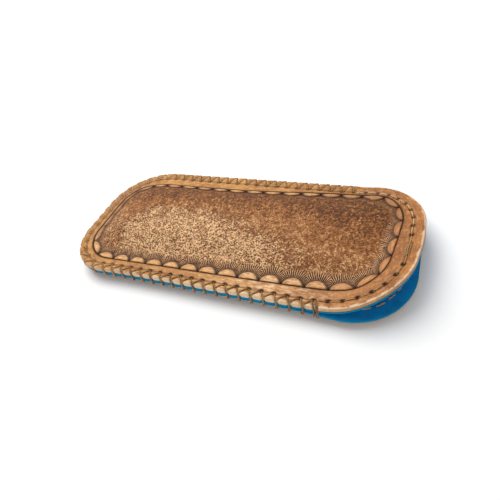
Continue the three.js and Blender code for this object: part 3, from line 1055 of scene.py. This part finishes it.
def lip_tone(x, y):
    """Paler towards the back, and darkest, as painted shade, where the thread goes down its holes."""
    holes = np.arange(LACE_SPACES, SEAM_LAP + 1)
    places = seam_place(holes[(holes < splice_hole()) | (holes > splice_hole() + 1)])
    hole_x, hole_y, _, _ = drawn_out(places, row_inset(places), upper_bulge)
    from_hole = np.hypot(x[:, None] - hole_x, y[:, None] - hole_y).min(axis=1)
    return 0.25 + 0.65 * ramp((y + 8) / 18) - 1.4 * bell(from_hole, 0.75)


def make_threads(name, lines, radius, tone):
    """One piece from several lines of thread."""
    bodies = [thread_body(line, radius) for line in lines]
    starts = totals([len(body[0]) for body in bodies])
    points, _, sizes, uv = (np.concatenate(part) for part in zip(*bodies))
    corners = np.concatenate([body[1] + start for body, start in zip(bodies, starts)])
    return make_mesh(name, points, corners, sizes, {"thread": uv}, {"tone": tone})


# A strand's way over the edge: share of the way from hole to edge, the face that it lies on, height above
# that face, and how many stitches an upright and a diagonal strand have moved from their hole.
TOP, BOTTOM = 0, 1
STRAND = (
    (0.0, TOP, -1.3, 0.0, 0.0), (0.05, TOP, -0.3, -0.01, 0.02),
    (0.2, TOP, 0.06, -0.06, 0.13), (0.46, TOP, 0.12, -0.14, 0.28),
    (0.74, TOP, 0.06, -0.22, 0.46), (0.88, TOP, -0.4, -0.26, 0.56),
    (0.95, TOP, -1.3, UPRIGHT_LEAN, DIAGONAL_LEAN), (0.96, TOP, -2.7, -0.28, 0.61),
    (0.94, BOTTOM, 1.0, -0.27, 0.65), (0.90, BOTTOM, 0.15, -0.24, 0.72),
    (0.74, BOTTOM, -0.12, -0.2, 0.79), (0.46, BOTTOM, -0.2, -0.12, 0.88),
    (0.2, BOTTOM, -0.1, -0.05, 0.95), (0.05, BOTTOM, 0.2, -0.01, 0.99),
    (0.0, BOTTOM, 1.3, 0.0, 1.0),
)
# How far a hole's strands are from its middle, in stitches, and how deep they lie in the leather, which is
# more at the closed end.
STRAND_ASIDE, STRAND_SUNK, CLOSED_END_SINK = 0.06, 0.16, 0.34
# The turns that fasten the thread, in stitches from its first and last hole.
END_TURNS = (0.16, -0.16)


def strand_points(hole, diagonal):
    """One turn over the edge, from a hole's top to its own bottom, or to the next one's if diagonal."""
    points = []
    for share, side, offset, *moved in STRAND:
        place = lace_place(hole + moved[diagonal])
        sunk = CLOSED_END_SINK * bell(place - CLOSED_END_PLACE, 1.2)
        inset = row_inset(place) * (1 - share) + sunk
        x, y, _, _ = drawn_out(place, inset, upper_bulge if side == TOP else lower_bulge)
        rise = swell(np.clip(share, 0, 1)) - STRAND_SUNK - sunk
        z = top_surface(x, y) + rise if side == TOP else underside(x, y) - LOWER_PUFF_SHARE * rise
        points.append((x, y, z + offset))
    return points


def make_edge_lacing():
    """One thread, which goes over the edge twice at each hole: to the same hole, and on to the next."""
    turns = [(aside, False) for aside in END_TURNS]
    for hole in range(LACE_SPACES):
        turns += [(hole - STRAND_ASIDE, False), (hole + STRAND_ASIDE, True)]
    turns += [(LACE_SPACES + aside, False) for aside in (0, *END_TURNS)]
    line = smooth_line([point for turn in turns for point in strand_points(*turn)], 4)
    piece = make_threads("edge_lacing_thread", [line], LACE_RADIUS, lacing_tone)
    finish_piece(piece, thread_finish, "lacing_thread", "edge_lacing")
    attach(piece, "pouch")


# A stitch: share of the way to the next hole, and height above its face. The two threads of a saddle stitch
# are a little to each side of the row.
STITCH = ((0.0, -1.6), (0.08, -0.95), (0.22, -0.12), (0.5, 0.14), (0.78, -0.12), (0.92, -0.95), (1.0, -1.6))
STITCH_ASIDE = 0.1
# The spliced stitch, which covers its holes, and how far aside and above its strands are.
SPLICE = ((-0.04, -0.5), (0.06, 0.0), (0.3, 0.2), (0.6, 0.26), (0.9, 0.1), (1.08, -0.25), (1.2, -0.9))
SPLICE_STRANDS = ((-0.66, 0.26), (0.66, 0.26), (0.0, 0.85))
SPLICE_Y = -3.5
# How pale the lower lip's thread is.
LOWER_TONE = 0.7


def stitch_points(hole, row, edge_bulge, surface, sign, aside, table=STITCH):
    points = []
    for share, lift in table:
        place = seam_place(hole + share)
        x, y, _, _ = drawn_out(place, row(place) + aside, edge_bulge)
        points.append((x, y, surface(x, y) + sign * lift))
    return points


def stitch_line(holes, row, edge_bulge, upper, lower, first_over):
    """A running stitch from hole to hole: over one space, under the next, and through the hole between."""
    points = []
    aside = STITCH_ASIDE if first_over else -STITCH_ASIDE
    for hole in holes:
        over = ((hole - holes[0]) % 2 == 0) == first_over
        surface, sign = (upper, 1) if over else (lower, -1)
        points += stitch_points(hole, row, edge_bulge, surface, sign, aside)
    return smooth_line(points, 3)


def saddle_stitches(*where):
    """Two threads through the same holes, each over where the other is under."""
    return [stitch_line(*where, first_over) for first_over in (True, False)]


def splice_hole():
    """The hole where the spliced stitch starts."""
    holes = np.arange(LACE_SPACES, SEAM_LAP)
    middles = spot(seam_place(holes + 0.5), STITCH_INSET)[1]
    return int(holes[np.argmin(np.abs(middles - SPLICE_Y))])


def splice_lines(upper):
    """The thread's two ends, sewn back over one stitch at the mouth's tip, which makes it thick."""
    where = (splice_hole(), row_inset, upper_bulge)
    strands = ((lifted(upper, lift), 1, aside, SPLICE) for aside, lift in SPLICE_STRANDS)
    return [smooth_line(stitch_points(*where, *strand), 3) for strand in strands]


def make_top_stitching():
    outer, inner = lifted(top_surface, -THREAD_SUNK), lifted(top_surface, -TOP_LAYERS)
    holes = range(LACE_SPACES, SEAM_LAP)
    lines = saddle_stitches(holes, row_inset, upper_bulge, outer, inner) + splice_lines(outer)
    piece = make_threads("top_mouth_thread", lines, STITCH_RADIUS, lip_tone)
    finish_piece(piece, thread_finish, "lacing_thread", "top_mouth_stitching")
    across_flex(piece)


def make_bottom_stitching():
    inner, outer = lifted(underside, BOTTOM_LAYERS), lifted(underside, THREAD_SUNK)
    holes = range(LACE_SPACES + 1, SEAM_LAP - 1)
    lines = saddle_stitches(holes, lambda place: LOWER_STITCH_INSET, lower_bulge, inner, outer)
    piece = make_threads("bottom_mouth_thread", lines, STITCH_RADIUS, lambda x, y: 0 * x + LOWER_TONE)
    finish_piece(piece, thread_finish, "lacing_thread", "bottom_mouth_stitching")
    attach(piece, "pouch")


blue = blue_lining()
thread_finish = waxed_thread()
make_top_leather()
make_top_lining()
make_bottom_leather()
make_bottom_lining()
make_edge_lacing()
make_top_stitching()
make_bottom_stitching()
